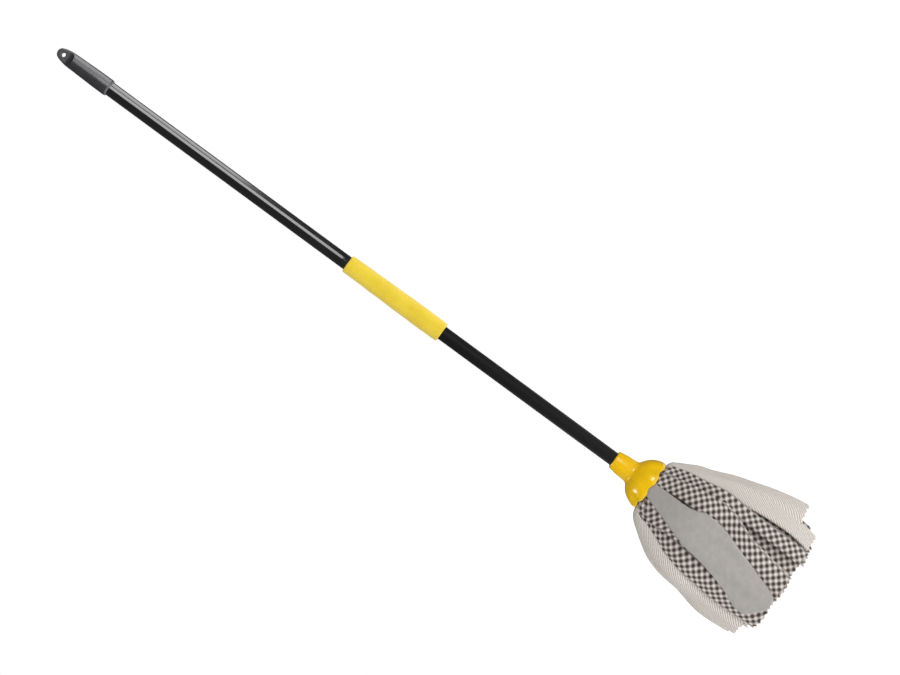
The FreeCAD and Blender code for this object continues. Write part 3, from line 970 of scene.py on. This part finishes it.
def build_world():
    """A white backdrop for the camera, a dim even fill for the pieces, dimmer still in reflections."""
    world = bpy.data.worlds.new("studio")
    bpy.context.scene.world = world
    world.use_nodes = True
    nodes = world.node_tree.nodes
    links = world.node_tree.links
    backdrop = nodes["Background"]
    backdrop.inputs["Color"].default_value = (1, 1, 1, 1)
    backdrop.inputs["Strength"].default_value = 1.0
    fill = nodes.new("ShaderNodeBackground")
    fill.inputs["Color"].default_value = (0.97, 0.98, 1, 1)
    dimmer = nodes.new("ShaderNodeMapRange")
    dimmer.inputs["To Min"].default_value = 0.34
    dimmer.inputs["To Max"].default_value = 0.09
    rays = nodes.new("ShaderNodeLightPath")
    mixer = nodes.new("ShaderNodeMixShader")
    links.new(rays.outputs["Is Glossy Ray"], dimmer.inputs["Value"])
    links.new(dimmer.outputs["Result"], fill.inputs["Strength"])
    links.new(rays.outputs["Is Camera Ray"], mixer.inputs[0])
    links.new(fill.outputs[0], mixer.inputs[1])
    links.new(backdrop.outputs[0], mixer.inputs[2])
    links.new(mixer.outputs[0], nodes["World Output"].inputs["Surface"])


def build_floor():
    """A plain white floor a little below the mop's foot."""
    reach = 6
    gap = 0.03
    floor = bpy.data.meshes.new("studio_floor")
    corners = [(-reach, -reach, 0), (reach, -reach, 0), (reach, reach, 0), (-reach, reach, 0)]
    floor.from_pydata(corners, [], [(0, 1, 2, 3)])
    shader = Shader(
        "studio_floor",
        Base_Color=(0.9, 0.9, 0.9, 1),
        Roughness=0.7,
        Emission_Color=(1, 1, 1, 1),
        Emission_Strength=0.9,
    )
    floor.materials.append(shader.material)
    ground = bpy.data.objects.new("studio_floor", floor)
    ground.location.z = cad_box[0][2] - gap
    bpy.context.scene.collection.objects.link(ground)


def build_lights(pole, foam, bell):
    """The soft panels: name, place, height aimed at, size, watts, whether the panel only shows as a
    reflection, and the pieces it reaches (none given means all)."""
    for name, place, aim_height, size, power, gloss, pieces in (
        ("side_panel", around_pole(88, 1.9, 0.55), -0.55, (2.4, 1.5), 27, True, pole),
        ("front_panel", around_pole(27, 2.0, 0.0), -0.35, (1.5, 0.9), 12, True, pole),
        ("bell_left", around_pole(-84, 1.9, 0.5), -1.08, (0.8, 0.45), 19, True, [bell]),
        ("bell_right", around_pole(31, 2.0, -0.27), -1.08, (0.9, 0.4), 17, True, [bell]),
        ("foam_side", around_pole(100, 1.8, -0.6), -0.6, (0.8, 0.8), 12, False, [foam]),
        ("cloth_key", around_pole(24, 2.6, 0.2), -0.9, (1.2, 1.2), 26, False, []),
        ("top_light", around_pole(-40, 1.6, 1.0), -1.0, (1.2, 1.2), 9, False, []),
    ):
        area_light(name, place, (0, 0, aim_height), size, power, gloss, pieces)


def dress_fittings():
    """The hidden fittings keep their CAD shapes, with materials and softened edges."""
    fitting = plastic_material(
        "joint_plastic",
        colour(34, 34, 36),
        colour(60, 60, 62),
        roughness=0.45,
        grain=900,
        grain_depth_mm=0.03,
    )
    clip = plastic_material(
        "clip_plastic",
        colour(214, 214, 208),
        colour(235, 235, 232),
        roughness=0.42,
        grain=900,
        grain_depth_mm=0.03,
    )
    for node, material in (
        ("joint_nut", fitting),
        ("joint_stud", fitting),
        ("threaded_tip", fitting),
        ("refill_clip", clip),
    ):
        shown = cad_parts[node]
        shown.data.materials.clear()
        shown.data.materials.append(material)
        edge = shown.modifiers.new("soft_edges", "BEVEL")
        edge.width = 0.35 * MM
        edge.segments = 2
        edge.limit_method = "ANGLE"


def main():
    place_camera()
    glossy = lacquer_material(
        "gloss_lacquer",
        colour(9, 9, 10),
        colour(30, 30, 32),
        roughness=0.17,
        Coat_Weight=1.0,
        Coat_IOR=1.9,
        Coat_Roughness=0.09,
    )
    satin = lacquer_material(
        "satin_lacquer",
        colour(9, 9, 9),
        colour(26, 26, 27),
        roughness=0.34,
        Specular_IOR_Level=0.22,
    )
    grey_plastic = plastic_material(
        "grip_plastic",
        colour(40, 39, 44),
        colour(66, 66, 70),
        roughness=0.31,
        grain=900,
        grain_depth_mm=0.03,
        IOR=2.0,
    )
    yellow_plastic = plastic_material(
        "socket_plastic",
        colour(240, 192, 0),
        colour(243, 200, 20),
        roughness=0.19,
        grain=1500,
        grain_depth_mm=0.004,
        Subsurface_Weight=0.15,
    )
    dotted = dotted_material()
    pole = build_tubes(glossy, satin) + [build_grip(grey_plastic)]
    foam = build_foam(foam_material())
    bell = build_bell(yellow_plastic)
    build_gathered(dotted)
    build_strips(dotted, grey_material())
    dress_fittings()
    bpy.context.scene.view_settings.view_transform = "Standard"
    build_world()
    build_floor()
    build_lights(pole, foam, bell)


main()
